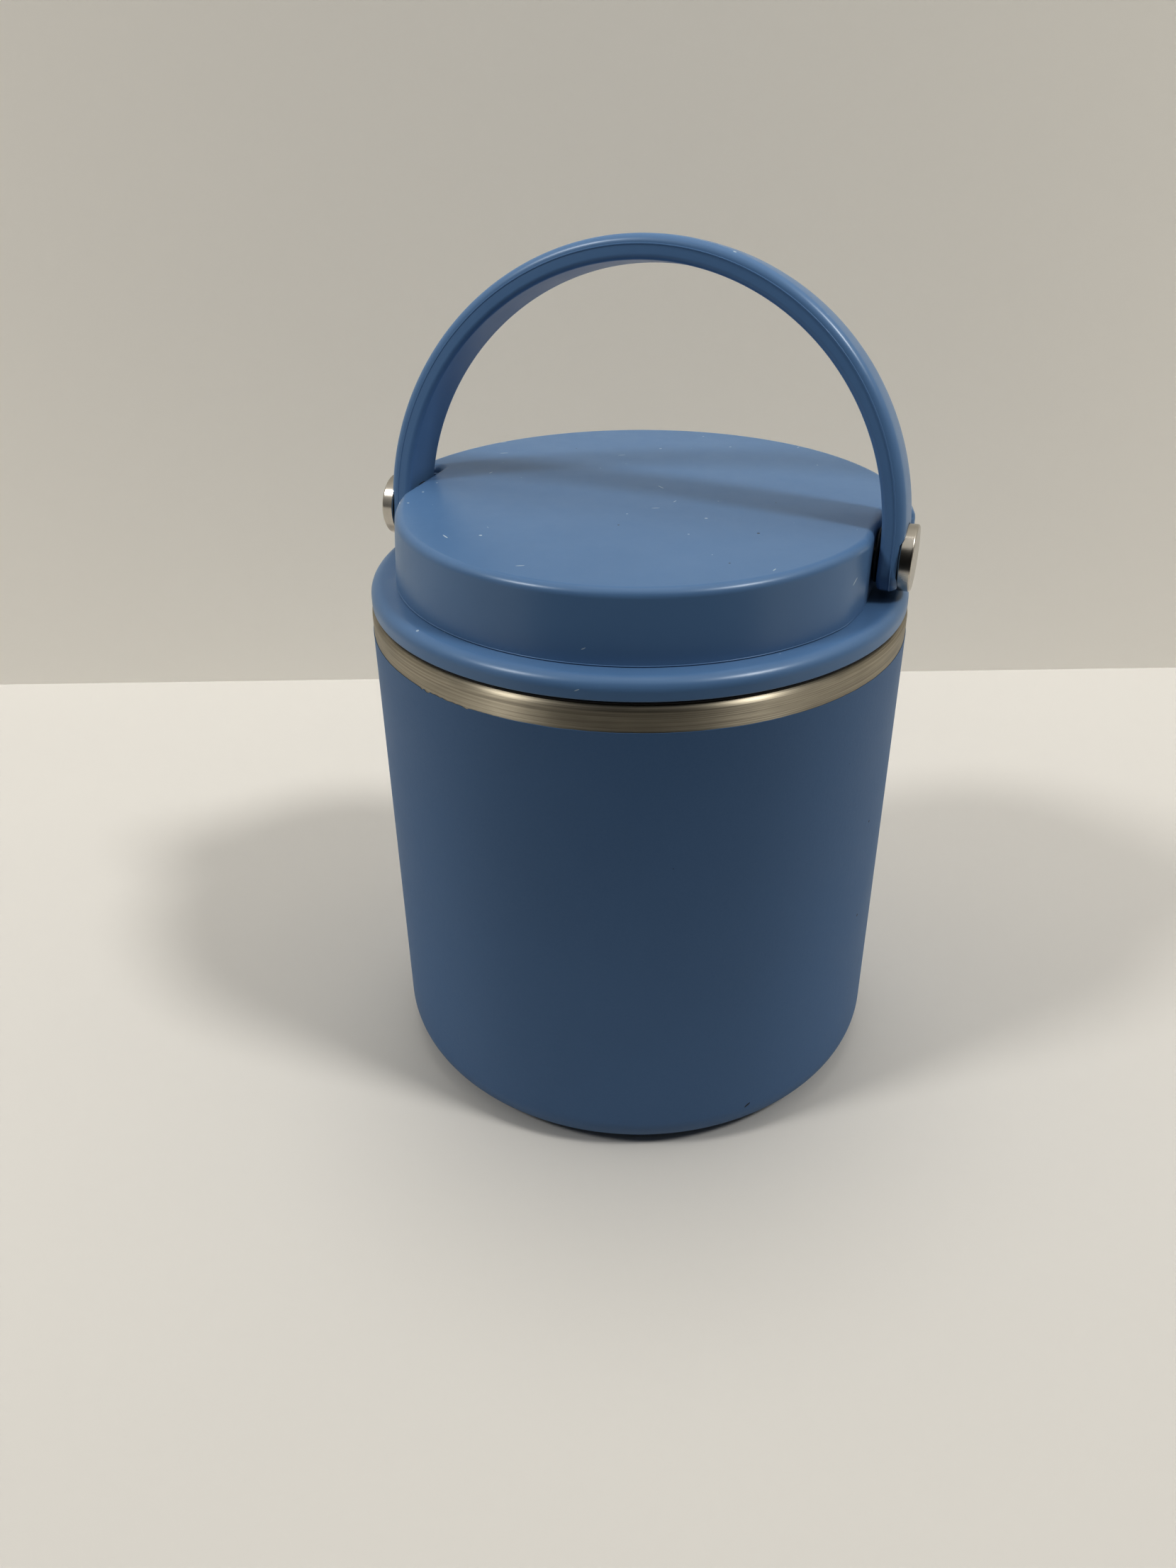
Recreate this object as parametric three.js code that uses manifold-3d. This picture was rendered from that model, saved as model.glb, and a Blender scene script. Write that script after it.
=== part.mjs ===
// An insulated food jar: a double-walled steel jar, a screw lid filled with foam, and a carry handle that
// folds forward round the lid. Millimetres, +Z up, the origin in the middle of the foot. The front is -Y, and
// the handle turns on two pins that lie along X.
import * as THREE from "three";
import { mergeVertices } from "three/addons/utils/BufferGeometryUtils.js";
import Module from "manifold-3d";

const wasm = await Module();
wasm.setup();

// ---- Driving dimensions -------------------------------------------------------------------------------

// Jar
const BODY_RADIUS = 52.5;
const FOOT_ROUND = 8; // radius of the rounded bottom edge
const RIM_HEIGHT = 102.2; // top of the steel rim
const STEEL = 0.8; // wall thickness of both shells
const RIM_ROUND = 1.2;
const LINER_RADIUS = 46.1; // inside of the food cavity
const LINER_FLOOR = 9; // underside of the liner
const LINER_ROUND = 9;
const RECESS_RADIUS = 40.5; // hollow inside the foot ring
const WELD_GAP = 0.3; // clearance left where two pieces are welded or bonded

// Bottom closure
const BASE_PLATE_BOTTOM = 2;
const DIMPLE_RADIUS = 6;
const DIMPLE_RISE = 1.8;
const SEAL_HOLE_RADIUS = 0.9;
const BASE_DISC_BOTTOM = 0.9;
const BASE_DISC_THICKNESS = 0.7;
const GETTER_RADIUS = 4.5;
const GETTER_HEIGHT = 2.4;
const GETTER_OFFSET = 20; // distance of the getter from the axis

// Screw thread, shared by the liner and the lid's plug
const THREAD_LEAD = 10; // rise in one full turn
const THREAD_STARTS = 2;
const THREAD_SWEEP = 1.5 * Math.PI; // angle covered by each rib
const THREAD_STEPS = 36;
const THREAD_TOP = 98.6; // where each liner rib starts
const THREAD_BITE = 0.4; // how far a rib is sunk into its wall
const THREAD_ROOT = 1.2; // half width of a rib at its wall
const THREAD_CREST = 0.7; // half width of a rib at its crest
const LINER_CREST_RADIUS = 44.8;
const PLUG_CREST_RADIUS = 45.3;
const RIB_END_SHARE = 0.3; // height left at the two ends of a rib
const RIB_TAPER = 0.08; // share of the rib's length in which it reaches full height

// Lid
const GASKET_BOTTOM = 102.3;
const GASKET_TOP = 102.8;
const GASKET_RADIUS = 51.8;
const GASKET_BORE = 44.9;
const GASKET_LIP = 1.2; // how far its lip reaches down into the mouth
const FLANGE_BOTTOM = 102.9;
const FLANGE_RADIUS = 52.2;
const FLANGE_ROUND = 2.3;
const LEDGE_HEIGHT = 106.9; // top of the flange, on which the cover stands
const PLUG_RADIUS = 43.9;
const PLUG_BOTTOM = 86;
const PLASTIC = 2.2; // wall thickness of the mouldings
const SPIGOT_RADIUS = 43.6; // ring that centres the cover
const SPIGOT_TOP = 109.2;
const COVER_TOP = 120;
const COVER_FRONT_RADIUS = 46.5;
const COVER_REAR_RADIUS = 51.9;
const COVER_FRONT_ROUND = 1.6;
const COVER_REAR_ROUND = 1.8;
const COVER_SKIRT_BOTTOM = 104.8; // lower edge of the cover where it has the full radius
const COVER_GAP = 0.25; // joint line between the cover and the flange
const SLOT_FLAT = 45.5; // distance of the flats beside the handle's legs from the middle

// Handle and its pins
const PIN_HEIGHT = 114.1;
const HANDLE_WIDTH = 11.6; // front to back
const HANDLE_EDGE = 1.3; // rounding of its long edges
const LEG_OUTSIDE = 50.8;
const LEG_THICKNESS = 4.2;
const ARCH_START = 1.7; // height over the pins at which the legs turn into the arch
const ARCH_REACH = 52.1; // crown of the arch over the pins
const ARCH_THICKNESS = 4.4; // at the crown
const HANDLE_LEAN = THREE.MathUtils.degToRad(10); // at rest the handle leans back on its stop
const STOP_GAP = 0.4;
const PIN_HEAD_RADIUS = 6.05;
const PIN_HEAD_INSIDE = 51.1;
const PIN_HEAD_OUTSIDE = 52.6;
const PIN_HEAD_ROUND = 0.35;
const SHOULDER_RADIUS = 2.5;
const STEM_RADIUS = 1.6;
const STEM_END = 37.5;
const RUNNING_CLEARANCE = 0.15;
const INSERT_RADIUS = 3;
const INSERT_INSIDE = 36.5;
const BOSS_RADIUS = 4.6;
const BOSS_INSIDE = 34;
const WASHER_RADIUS = 5;
const WASHER_THICKNESS = 0.6;

// Fineness of the round shapes
const BODY_SEGMENTS = 48;
const PIN_SEGMENTS = 24;
const ARCH_SEGMENTS = 32;
const END_SEGMENTS = 12; // of the round ends of the handle
const CLEAR = 80; // half size of the blocks used for cutting

// ---- Shape helpers ------------------------------------------------------------------------------------

const at = (x, y) => new THREE.Vector2(x, y);

// Points of a round corner, given its centre, radius, and first and last angle in degrees.
function arc(x, y, radius, from, to, steps = 5) {
  return Array.from({ length: steps + 1 }, (_, i) => {
    const angle = THREE.MathUtils.degToRad(from + ((to - from) * i) / steps);
    return at(x + radius * Math.cos(angle), y + radius * Math.sin(angle));
  });
}

// A profile of [distance from the axis, height] points turned round the Z axis.
function turned(profile, segments = BODY_SEGMENTS) {
  return new THREE.LatheGeometry(profile, segments).rotateX(Math.PI / 2);
}

// A closed profile that doesn't touch the axis, turned round the Z axis.
function turnedRing(profile, segments = BODY_SEGMENTS) {
  return turned([...profile, profile[0].clone()], segments);
}

// The same, turned round the X axis at the height of the pins; side is 1 on the right and -1 on the left.
function onPinAxis(geometry, side) {
  return geometry.rotateY((side * Math.PI) / 2).translate(0, 0, PIN_HEIGHT);
}

// A closed geometry as a manifold-3d solid.
function solid(geometry) {
  const bare = geometry.clone();
  bare.deleteAttribute("normal");
  bare.deleteAttribute("uv");
  const merged = mergeVertices(bare, 1e-4);
  return new wasm.Manifold(
    new wasm.Mesh({
      numProp: 3,
      vertProperties: merged.getAttribute("position").array,
      triVerts: new Uint32Array(merged.getIndex().array),
    }),
  );
}

// A manifold-3d solid as a geometry.
function geometryOf(made) {
  const mesh = made.getMesh();
  return new THREE.BufferGeometry()
    .setAttribute("position", new THREE.BufferAttribute(mesh.vertProperties, 3))
    .setIndex(new THREE.BufferAttribute(mesh.triVerts, 1));
}

// A plain disc that stands on the Z axis, from one height to another, with a rounded top edge if asked for.
function disc(radius, bottom, top, round = 0) {
  const edge = round ? arc(radius - round, top - round, round, 0, 90) : [at(radius, top)];
  return solid(turned([at(0, bottom), at(radius, bottom), ...edge, at(0, top)]));
}

// A cylinder on the pin axis between two distances from the middle.
function pinCylinder(radius, inside, outside, side) {
  const profile = [at(0, inside), at(radius, inside), at(radius, outside), at(0, outside)];
  return solid(onPinAxis(turned(profile, PIN_SEGMENTS), side));
}

// Everything behind the plane at the given distance from the pin axis that leans back with the handle.
function behindHandle(distance) {
  const block = new THREE.BoxGeometry(2 * CLEAR, 2 * CLEAR, 2 * CLEAR);
  block.translate(0, distance + CLEAR, 0).rotateX(-HANDLE_LEAN).translate(0, 0, PIN_HEIGHT);
  return solid(block);
}

// One thread rib: a straight bar whose section is [radius, height] points, wound down a helix.
function threadRib(wallRadius, crestRadius, startAngle, startHeight) {
  const sunk = wallRadius + THREAD_BITE * Math.sign(wallRadius - crestRadius);
  const section = new THREE.Shape([
    at(sunk, -THREAD_ROOT),
    at(crestRadius, -THREAD_CREST),
    at(crestRadius, THREAD_CREST),
    at(sunk, THREAD_ROOT),
  ]);
  const bar = new THREE.ExtrudeGeometry(section, { depth: 1, steps: THREAD_STEPS, bevelEnabled: false });
  const points = bar.getAttribute("position");
  for (let i = 0; i < points.count; i++) {
    const share = points.getZ(i);
    const grown = Math.min(1, Math.min(share, 1 - share) / RIB_TAPER);
    const height = RIB_END_SHARE + (1 - RIB_END_SHARE) * grown;
    const radius = sunk + (points.getX(i) - sunk) * height;
    const turn = share * THREAD_SWEEP;
    const angle = startAngle - turn;
    const z = startHeight + points.getY(i) - (turn / (2 * Math.PI)) * THREAD_LEAD;
    points.setXYZ(i, radius * Math.cos(angle), radius * Math.sin(angle), z);
  }
  return solid(bar);
}

// A wall with its thread ribs joined on. All ribs lie on helices with the same lead, drop lower than the first.
function withThread(wall, wallRadius, crestRadius, drop) {
  let made = solid(wall);
  for (let i = 0; i < THREAD_STARTS; i++) {
    const angle = (i * 2 * Math.PI) / THREAD_STARTS;
    made = made.add(threadRib(wallRadius, crestRadius, angle, THREAD_TOP - drop));
  }
  return geometryOf(made);
}

// ---- Jar ----------------------------------------------------------------------------------------------

// The outer wall, turned under into a foot ring at the bottom and in to the weld with the liner at the rim.
function outerShell() {
  const inside = BODY_RADIUS - STEEL;
  const footInner = RECESS_RADIUS + STEEL;
  const footTop = BASE_PLATE_BOTTOM + STEEL;
  const lipRadius = LINER_RADIUS + STEEL + WELD_GAP;
  return turnedRing([
    at(RECESS_RADIUS, 0),
    ...arc(BODY_RADIUS - FOOT_ROUND, FOOT_ROUND, FOOT_ROUND, -90, 0),
    ...arc(BODY_RADIUS - RIM_ROUND, RIM_HEIGHT - RIM_ROUND, RIM_ROUND, 0, 90, 3),
    at(lipRadius, RIM_HEIGHT),
    at(lipRadius, RIM_HEIGHT - STEEL),
    at(inside - RIM_ROUND, RIM_HEIGHT - STEEL),
    at(inside, RIM_HEIGHT - STEEL - RIM_ROUND),
    ...arc(BODY_RADIUS - FOOT_ROUND, FOOT_ROUND, FOOT_ROUND - STEEL, 0, -90),
    at(footInner, STEEL),
    at(footInner, footTop),
    at(RECESS_RADIUS, footTop),
  ]);
}

// The seamless cup that holds the food, with the thread on the inside of its mouth.
function innerLiner() {
  const outside = LINER_RADIUS + STEEL;
  const cup = turned([
    at(0, LINER_FLOOR),
    ...arc(outside - LINER_ROUND, LINER_FLOOR + LINER_ROUND, LINER_ROUND, -90, 0),
    at(outside, RIM_HEIGHT),
    at(LINER_RADIUS, RIM_HEIGHT),
    ...arc(outside - LINER_ROUND, LINER_FLOOR + LINER_ROUND, LINER_ROUND - STEEL, 0, -90),
    at(0, LINER_FLOOR + STEEL),
  ]);
  return withThread(cup, LINER_RADIUS, LINER_CREST_RADIUS, 0);
}

// The plate that closes the vacuum space, with a dimple round the hole through which the air is drawn out.
function outerBase() {
  const radius = RECESS_RADIUS - WELD_GAP;
  const top = BASE_PLATE_BOTTOM + STEEL;
  return turnedRing([
    at(SEAL_HOLE_RADIUS, BASE_PLATE_BOTTOM + DIMPLE_RISE),
    at(DIMPLE_RADIUS, BASE_PLATE_BOTTOM + DIMPLE_RISE),
    at(DIMPLE_RADIUS + DIMPLE_RISE, BASE_PLATE_BOTTOM),
    at(radius, BASE_PLATE_BOTTOM),
    at(radius, top),
    at(DIMPLE_RADIUS + DIMPLE_RISE, top),
    at(DIMPLE_RADIUS, top + DIMPLE_RISE),
    at(SEAL_HOLE_RADIUS, top + DIMPLE_RISE),
  ]);
}

// The bead of sealing glass that closes the hole from below.
function vacuumSeal() {
  const radius = 2 * SEAL_HOLE_RADIUS;
  const top = BASE_PLATE_BOTTOM + DIMPLE_RISE - WELD_GAP / 2;
  const domeHeight = BASE_PLATE_BOTTOM + SEAL_HOLE_RADIUS / 2;
  return turned(
    [at(0, domeHeight), at(radius / 2, domeHeight + WELD_GAP), at(radius, top), at(0, top)],
    PIN_SEGMENTS,
  );
}

// The thin disc that covers the dimple, bonded inside the foot ring.
function baseDisc() {
  const radius = RECESS_RADIUS - 2 * WELD_GAP;
  const top = BASE_DISC_BOTTOM + BASE_DISC_THICKNESS;
  return turned([
    at(0, BASE_DISC_BOTTOM),
    at(radius - WELD_GAP, BASE_DISC_BOTTOM),
    at(radius, BASE_DISC_BOTTOM + WELD_GAP),
    at(radius, top),
    at(0, top),
  ]);
}

// The pellet that keeps the vacuum, fixed on the base plate inside the vacuum space.
function getter() {
  const bottom = BASE_PLATE_BOTTOM + STEEL + WELD_GAP;
  const top = bottom + GETTER_HEIGHT;
  const edge = GETTER_HEIGHT / 4;
  const profile = [
    at(0, bottom),
    at(GETTER_RADIUS, bottom),
    at(GETTER_RADIUS, top - edge),
    at(GETTER_RADIUS - edge, top),
    at(0, top),
  ];
  return turned(profile, PIN_SEGMENTS).translate(GETTER_OFFSET, 0, 0);
}

// ---- Lid ----------------------------------------------------------------------------------------------

// The silicone ring between the rim and the flange, with a lip that reaches down inside the mouth.
function lidGasket() {
  const lipOutside = LINER_RADIUS - WELD_GAP;
  const lipBottom = GASKET_BOTTOM - GASKET_LIP;
  return turnedRing([
    at(GASKET_BORE, lipBottom),
    at(lipOutside - WELD_GAP, lipBottom),
    at(lipOutside, GASKET_BOTTOM),
    at(GASKET_RADIUS, GASKET_BOTTOM),
    at(GASKET_RADIUS, GASKET_TOP),
    at(GASKET_BORE, GASKET_TOP),
  ]);
}

// The lower moulding: flange, ring that centres the cover, and hollow plug with the outside thread.
function lidBase() {
  const bore = PLUG_RADIUS - PLASTIC;
  const chamfer = PLASTIC / 2;
  const shoulder = FLANGE_RADIUS - FLANGE_ROUND;
  const moulding = turned([
    at(0, PLUG_BOTTOM),
    at(PLUG_RADIUS - chamfer, PLUG_BOTTOM),
    at(PLUG_RADIUS, PLUG_BOTTOM + chamfer),
    at(PLUG_RADIUS, FLANGE_BOTTOM),
    at(FLANGE_RADIUS - COVER_GAP, FLANGE_BOTTOM),
    at(FLANGE_RADIUS, FLANGE_BOTTOM + COVER_GAP),
    ...arc(shoulder, LEDGE_HEIGHT - FLANGE_ROUND, FLANGE_ROUND, 0, 90),
    at(SPIGOT_RADIUS, LEDGE_HEIGHT),
    at(SPIGOT_RADIUS, SPIGOT_TOP),
    at(bore, SPIGOT_TOP),
    at(bore, PLUG_BOTTOM + PLASTIC),
    at(0, PLUG_BOTTOM + PLASTIC),
  ]);
  return withThread(moulding, PLUG_RADIUS, PLUG_CREST_RADIUS, THREAD_LEAD / (2 * THREAD_STARTS));
}

// The space that the flange's rounded shoulder and the ledge take up under the cover.
function flangeClearance() {
  const round = FLANGE_ROUND + COVER_GAP;
  const profile = [
    at(0, FLANGE_BOTTOM),
    at(FLANGE_RADIUS + COVER_GAP, FLANGE_BOTTOM),
    ...arc(FLANGE_RADIUS - FLANGE_ROUND, LEDGE_HEIGHT - FLANGE_ROUND, round, 0, 90),
    at(0, LEDGE_HEIGHT + COVER_GAP),
  ];
  return solid(turned(profile));
}

// The upper moulding. Behind the handle it has the full radius of the jar; in front it is smaller, which
// leaves a ledge for the folded handle. Flats beside the legs carry the bosses for the pins.
function lidCover() {
  const stop = HANDLE_WIDTH / 2 + STOP_GAP;
  const rear = disc(COVER_REAR_RADIUS, COVER_SKIRT_BOTTOM, COVER_TOP, COVER_REAR_ROUND);
  const front = disc(COVER_FRONT_RADIUS, LEDGE_HEIGHT + COVER_GAP, COVER_TOP, COVER_FRONT_ROUND);
  const rearHollow = disc(COVER_REAR_RADIUS - PLASTIC, FLANGE_BOTTOM, COVER_TOP - PLASTIC);
  const frontHollow = disc(SPIGOT_RADIUS + COVER_GAP, FLANGE_BOTTOM, COVER_TOP - PLASTIC);
  let cover = rear.intersect(behindHandle(stop)).add(front);
  cover = cover.subtract(rearHollow.intersect(behindHandle(stop + PLASTIC))).subtract(frontHollow);
  for (const side of [-1, 1]) {
    const slot = new THREE.BoxGeometry(CLEAR, 2 * CLEAR, 2 * CLEAR);
    slot.translate(side * (SLOT_FLAT + CLEAR / 2), 0, PIN_HEIGHT);
    cover = cover
      .subtract(solid(slot).subtract(behindHandle(stop)))
      .add(pinCylinder(BOSS_RADIUS, BOSS_INSIDE, SLOT_FLAT, side))
      .subtract(pinCylinder(INSERT_RADIUS + RUNNING_CLEARANCE, BOSS_INSIDE - 1, SLOT_FLAT + 1, side));
  }
  return geometryOf(cover.subtract(flangeClearance()));
}

// The insulating foam that fills the plug.
function lidFoam() {
  const radius = PLUG_RADIUS - PLASTIC - WELD_GAP;
  const bottom = PLUG_BOTTOM + PLASTIC + WELD_GAP;
  return turned([at(0, bottom), at(radius, bottom), at(radius, SPIGOT_TOP), at(0, SPIGOT_TOP)]);
}

// ---- Handle and pins ----------------------------------------------------------------------------------

// The bail in its own plane: two legs and half an ellipse, with the pins at height 0.
function handleOutline() {
  const inside = LEG_OUTSIDE - LEG_THICKNESS;
  const outerRise = ARCH_REACH - ARCH_START;
  const innerRise = outerRise - ARCH_THICKNESS;
  const bottom = -HANDLE_WIDTH;
  const outline = new THREE.Shape();
  outline.moveTo(LEG_OUTSIDE, bottom);
  outline.lineTo(LEG_OUTSIDE, ARCH_START);
  outline.absellipse(0, ARCH_START, LEG_OUTSIDE, outerRise, 0, Math.PI, false);
  outline.lineTo(-LEG_OUTSIDE, bottom);
  outline.lineTo(-inside, bottom);
  outline.lineTo(-inside, ARCH_START);
  outline.absellipse(0, ARCH_START, inside, innerRise, Math.PI, 0, true);
  outline.lineTo(inside, bottom);
  outline.closePath();
  return outline;
}

// The bail seen from the side: a strip with a round end about the pins.
function handleSideOutline() {
  const half = HANDLE_WIDTH / 2;
  const outline = new THREE.Shape();
  outline.moveTo(half, CLEAR);
  outline.lineTo(-half, CLEAR);
  outline.lineTo(-half, 0);
  outline.absarc(0, 0, half, Math.PI, 2 * Math.PI, false);
  outline.closePath();
  return outline;
}

// The one-piece bail handle, leaning back on its stop.
function handle() {
  const flat = HANDLE_WIDTH - 2 * HANDLE_EDGE;
  const band = new THREE.ExtrudeGeometry(handleOutline(), {
    depth: flat,
    curveSegments: ARCH_SEGMENTS,
    bevelThickness: HANDLE_EDGE,
    bevelSize: HANDLE_EDGE,
    bevelOffset: -HANDLE_EDGE,
    bevelSegments: 2,
  });
  band.translate(0, 0, -flat / 2).rotateX(Math.PI / 2);
  const strip = new THREE.ExtrudeGeometry(handleSideOutline(), {
    depth: 2 * CLEAR,
    curveSegments: END_SEGMENTS,
    bevelEnabled: false,
  });
  strip.translate(0, 0, -CLEAR).rotateY(Math.PI / 2).rotateX(Math.PI / 2);
  let bail = solid(band).intersect(solid(strip));
  for (const side of [-1, 1]) {
    const bore = pinCylinder(SHOULDER_RADIUS + RUNNING_CLEARANCE, SLOT_FLAT, PIN_HEAD_OUTSIDE, side);
    bail = bail.subtract(bore.translate(0, 0, -PIN_HEIGHT));
  }
  return geometryOf(bail).rotateX(-HANDLE_LEAN).translate(0, 0, PIN_HEIGHT);
}

// A shoulder screw: wide flat head, shoulder on which the leg turns, and stem in the insert.
function pin(side) {
  const shoulderEnd = SLOT_FLAT - RUNNING_CLEARANCE;
  const profile = [
    at(0, STEM_END),
    at(STEM_RADIUS, STEM_END),
    at(STEM_RADIUS, shoulderEnd),
    at(SHOULDER_RADIUS, shoulderEnd),
    at(SHOULDER_RADIUS, PIN_HEAD_INSIDE),
    at(PIN_HEAD_RADIUS, PIN_HEAD_INSIDE),
    ...arc(PIN_HEAD_RADIUS - PIN_HEAD_ROUND, PIN_HEAD_OUTSIDE - PIN_HEAD_ROUND, PIN_HEAD_ROUND, 0, 90, 2),
    at(0, PIN_HEAD_OUTSIDE),
  ];
  return onPinAxis(turned(profile, PIN_SEGMENTS), side);
}

// A ring on the pin axis.
function pinRing(bore, radius, inside, outside, side) {
  const profile = [at(bore, inside), at(radius, inside), at(radius, outside), at(bore, outside)];
  return onPinAxis(turnedRing(profile, PIN_SEGMENTS), side);
}

// The brass insert that is moulded into the boss.
function insert(side) {
  const outside = SLOT_FLAT - 3 * RUNNING_CLEARANCE;
  return pinRing(STEM_RADIUS + RUNNING_CLEARANCE, INSERT_RADIUS, INSERT_INSIDE, outside, side);
}

// The washer between the cover's flat and the leg.
function washer(side) {
  const middle = (SLOT_FLAT + LEG_OUTSIDE - LEG_THICKNESS) / 2;
  const half = WASHER_THICKNESS / 2;
  const bore = SHOULDER_RADIUS + 2 * RUNNING_CLEARANCE;
  return pinRing(bore, WASHER_RADIUS, middle - half, middle + half, side);
}

// ---- Materials and assembly ---------------------------------------------------------------------------

const blueCoat = { color: 0x4a6484, roughness: 0.55, metalness: 0 };
const bluePlastic = { color: 0x4b6d92, roughness: 0.45, metalness: 0 };
const steel = { color: 0xb4afa5, roughness: 0.35, metalness: 1 };
const polishedSteel = { color: 0xc4bfb4, roughness: 0.2, metalness: 1 };
const silicone = { color: 0x101114, roughness: 0.7, metalness: 0 };
const nylon = { color: 0x1a1c20, roughness: 0.5, metalness: 0 };
const brass = { color: 0xb08d4a, roughness: 0.35, metalness: 1 };
const foam = { color: 0xd8d3bd, roughness: 0.9, metalness: 0 };
const sealingGlass = { color: 0x4a3b2e, roughness: 0.2, metalness: 0 };
const getterMetal = { color: 0x55565a, roughness: 0.7, metalness: 0.8 };

function piece(name, geometry, finish) {
  const mesh = new THREE.Mesh(geometry, new THREE.MeshStandardMaterial(finish));
  mesh.name = name;
  return mesh;
}

function jar() {
  return new THREE.Group().add(
    piece("outer_shell", outerShell(), blueCoat),
    piece("inner_liner", innerLiner(), steel),
    piece("outer_base", outerBase(), steel),
    piece("vacuum_seal", vacuumSeal(), sealingGlass),
    piece("getter", getter(), getterMetal),
    piece("base_disc", baseDisc(), steel),
  );
}

function lid() {
  const group = new THREE.Group().add(
    piece("lid_base", lidBase(), bluePlastic),
    piece("lid_cover", lidCover(), bluePlastic),
    piece("lid_foam", lidFoam(), foam),
    piece("lid_gasket", lidGasket(), silicone),
  );
  for (const [name, side] of [["left", -1], ["right", 1]]) {
    group.add(
      piece(`handle_pin_${name}`, pin(side), polishedSteel),
      piece(`pin_insert_${name}`, insert(side), brass),
      piece(`handle_washer_${name}`, washer(side), nylon),
    );
  }
  return group;
}

const foodJar = new THREE.Group().add(jar(), lid(), piece("handle", handle(), bluePlastic));

export default foodJar;
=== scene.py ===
"""The looks of an insulated food jar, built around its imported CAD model: a powder-coated steel jar with a
bare band at its rim, a moulded screw lid with a ledge for the folded handle, and a bail handle on two pins.

Lengths are in millimetres until a mesh is made from them in metres. +Z is up and -Y is the front."""

import math

import bmesh
import bpy
import numpy as np
from mathutils import Matrix, Vector, noise


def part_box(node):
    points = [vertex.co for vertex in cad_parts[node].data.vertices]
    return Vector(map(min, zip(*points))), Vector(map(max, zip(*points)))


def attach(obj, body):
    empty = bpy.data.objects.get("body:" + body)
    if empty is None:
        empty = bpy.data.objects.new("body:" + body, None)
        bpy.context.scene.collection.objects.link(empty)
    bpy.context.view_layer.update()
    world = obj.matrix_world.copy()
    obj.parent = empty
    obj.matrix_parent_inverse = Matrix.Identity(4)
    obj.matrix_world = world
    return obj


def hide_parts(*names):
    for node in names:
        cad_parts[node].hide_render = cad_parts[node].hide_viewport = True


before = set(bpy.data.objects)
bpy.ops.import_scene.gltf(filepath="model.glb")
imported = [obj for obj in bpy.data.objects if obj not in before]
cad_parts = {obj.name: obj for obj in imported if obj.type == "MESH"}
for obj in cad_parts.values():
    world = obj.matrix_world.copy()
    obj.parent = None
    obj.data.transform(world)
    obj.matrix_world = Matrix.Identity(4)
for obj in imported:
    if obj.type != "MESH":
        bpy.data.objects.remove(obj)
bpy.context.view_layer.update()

# ---- Driving dimensions -----------------------------------------------------------------------------------

MM = 0.001


def box_mm(node):
    """Lowest and highest corner of a CAD node, in millimetres."""
    low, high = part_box(node)
    return low / MM, high / MM


SHELL_TOP = box_mm("outer_shell")[1]
BODY_RADIUS = SHELL_TOP.x
RIM_HEIGHT = SHELL_TOP.z
LINER_LOW, LINER_HIGH = box_mm("inner_liner")
PLATE_LOW, PLATE_HIGH = box_mm("outer_base")
DISC_LOW, DISC_HIGH = box_mm("base_disc")
GASKET_LOW, GASKET_HIGH = box_mm("lid_gasket")
LID_LOW, LID_HIGH = box_mm("lid_base")
COVER_LOW, COVER_HIGH = box_mm("lid_cover")
PIN_LOW, PIN_HIGH = box_mm("handle_pin_right")
WASHER_LOW, WASHER_HIGH = box_mm("handle_washer_right")
LEG_OUTSIDE = box_mm("handle")[1].x
PIN_HEIGHT = (PIN_LOW.z + PIN_HIGH.z) / 2
HEAD_RADIUS = (PIN_HIGH.z - PIN_LOW.z) / 2

# Jar
STEEL = 0.8  # wall thickness of both shells
COAT = 0.12  # thickness of the powder coat
COAT_GAP = 0.02  # hairline under the coat's edge
COAT_TOP = 97.5  # height at which the coat ends below the bare band
COAT_FOOT = 42.2  # radius at which the coat ends under the foot
EDGE_REACH = 1.2  # height of the strip that moves with the coat's ragged edge
CHIPPED_AT = -112  # degrees round the jar at the middle of the stretch where the coat's edge is chipped
CHIPPED_REACH = 11  # degrees from there to either end of it
CHIPPED_FADE = 4  # degrees over which the chips begin
CHIP_DEPTH = 0.75
EDGE_WANDER = 0.05  # how far the coat's edge wanders all the way round
EDGE_GRAIN = 0.06  # depth of the fine grain in that edge
EDGE_ROWS = (3, 1.5, 0.8, 0.4, 0.15)  # distances below the coat's edge of the rows that let it wander
FOOT_ROUND = 8
RECESS_RADIUS = 40.5
RIM_ROUND = 1.2
LINER_ROUND = 9
LINER_INSIDE = LINER_HIGH.x - STEEL
SEAL_HOLE = 0.9  # radius of the hole that the sealing glass fills
DIMPLE = 6.0  # radius of the dimple round the hole
DISC_STEP = 0.2  # depth of the ring pressed into the bottom disc
DISC_RING = (31.0, 33.6)  # radii between which that ring lies
DISC_SLOPE = 0.4
DISC_RIM = 1.2

# Screw thread
THREAD_LEAD = 10
THREAD_STARTS = 2
THREAD_SWEEP = 1.5 * math.pi
THREAD_TOP = 98.6
THREAD_ROOT = 1.3
THREAD_CREST = 0.5
THREAD_TAPER = 0.08  # share of a rib's length in which it grows out of the wall
THREAD_ROW = 0.25  # height of one row of faces on a threaded wall
LINER_RIB = 1.3
PLUG_RIB = 1.4

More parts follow.
